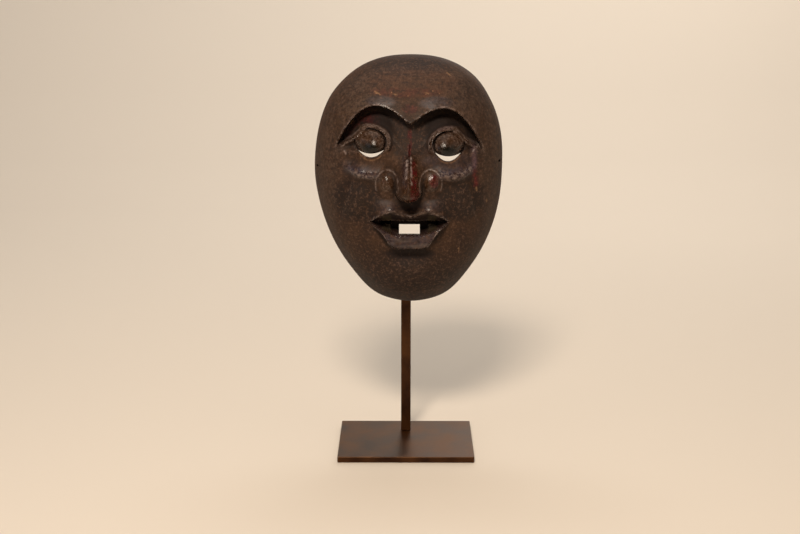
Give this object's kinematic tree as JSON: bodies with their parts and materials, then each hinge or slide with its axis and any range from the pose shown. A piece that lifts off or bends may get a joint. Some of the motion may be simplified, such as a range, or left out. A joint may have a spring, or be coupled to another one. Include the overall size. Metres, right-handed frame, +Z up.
{
  "type": "carved theatre mask on stand",
  "caption": "Carved wooden theatre mask with bulging eyes and an open mouth, hung upright on a steel post stand.",
  "frame": {"origin": "centre of the base plate's underside", "axes": "+Z up, the mask looks along -Y, +X to the right of someone who faces it"},
  "size_m": [0.1496, 0.0983, 0.3202],
  "materials": {
    "steel": "dark brown-black satin patina",
    "wood": "dark brown waxy patina with traces of red"
  },
  "bodies": {
    "root": {"base_plate": "steel", "post": "steel", "cradle": "steel", "mask": "wood"}
  },
  "joints": []
}
